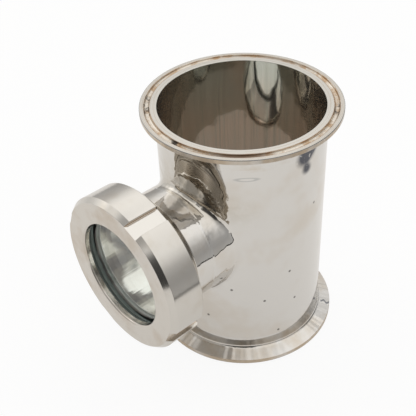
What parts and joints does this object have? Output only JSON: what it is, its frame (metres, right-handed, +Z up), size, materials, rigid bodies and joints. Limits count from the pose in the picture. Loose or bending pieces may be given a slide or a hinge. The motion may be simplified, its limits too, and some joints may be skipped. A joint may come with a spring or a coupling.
{
  "type": "sanitary sight glass",
  "caption": "Straight clamp-ended stainless spool with a side branch closed by a round glass window under a slotted screwed union nut.",
  "frame": {"origin": "on the spool's axis at the lower ferrule's sealing face", "axes": "+Z up along the spool's axis, the side branch and its window point towards -Y"},
  "size_m": [0.119, 0.159, 0.16],
  "materials": {
    "polished_steel": "mirror polished stainless steel",
    "turned_steel": "fine turned and buffed stainless steel",
    "weld_steel": "polished weld metal",
    "gasket_rubber": "smooth moulded rubber",
    "sight_glass": "clear polished glass"
  },
  "bodies": {
    "spool": {"spool_body": "polished_steel", "upper_ferrule": "polished_steel", "lower_ferrule": "polished_steel", "upper_seam_weld": "weld_steel", "lower_seam_weld": "weld_steel", "branch_ring_weld": "weld_steel", "threaded_liner": "turned_steel", "inner_gasket": "gasket_rubber", "glass_disc": "sight_glass"},
    "gasket_carrier": {"outer_gasket": "gasket_rubber"},
    "nut": {"union_nut": "turned_steel"}
  },
  "joints": [
    {"name": "nut_travel", "type": "slide", "parent": "spool", "child": "gasket_carrier", "axis": [0, -1, 0], "range_m": [0, 0.01129]},
    {"name": "nut_spin", "type": "hinge", "parent": "gasket_carrier", "child": "nut", "pos_m": [0, -0.088, 0.087], "axis": [0, -1, 0], "range_deg": [0, 960]}
  ],
  "couplings": [
    {"joint": "nut_travel", "follows": "nut_spin", "m_per_rad": 0.00067375}
  ]
}
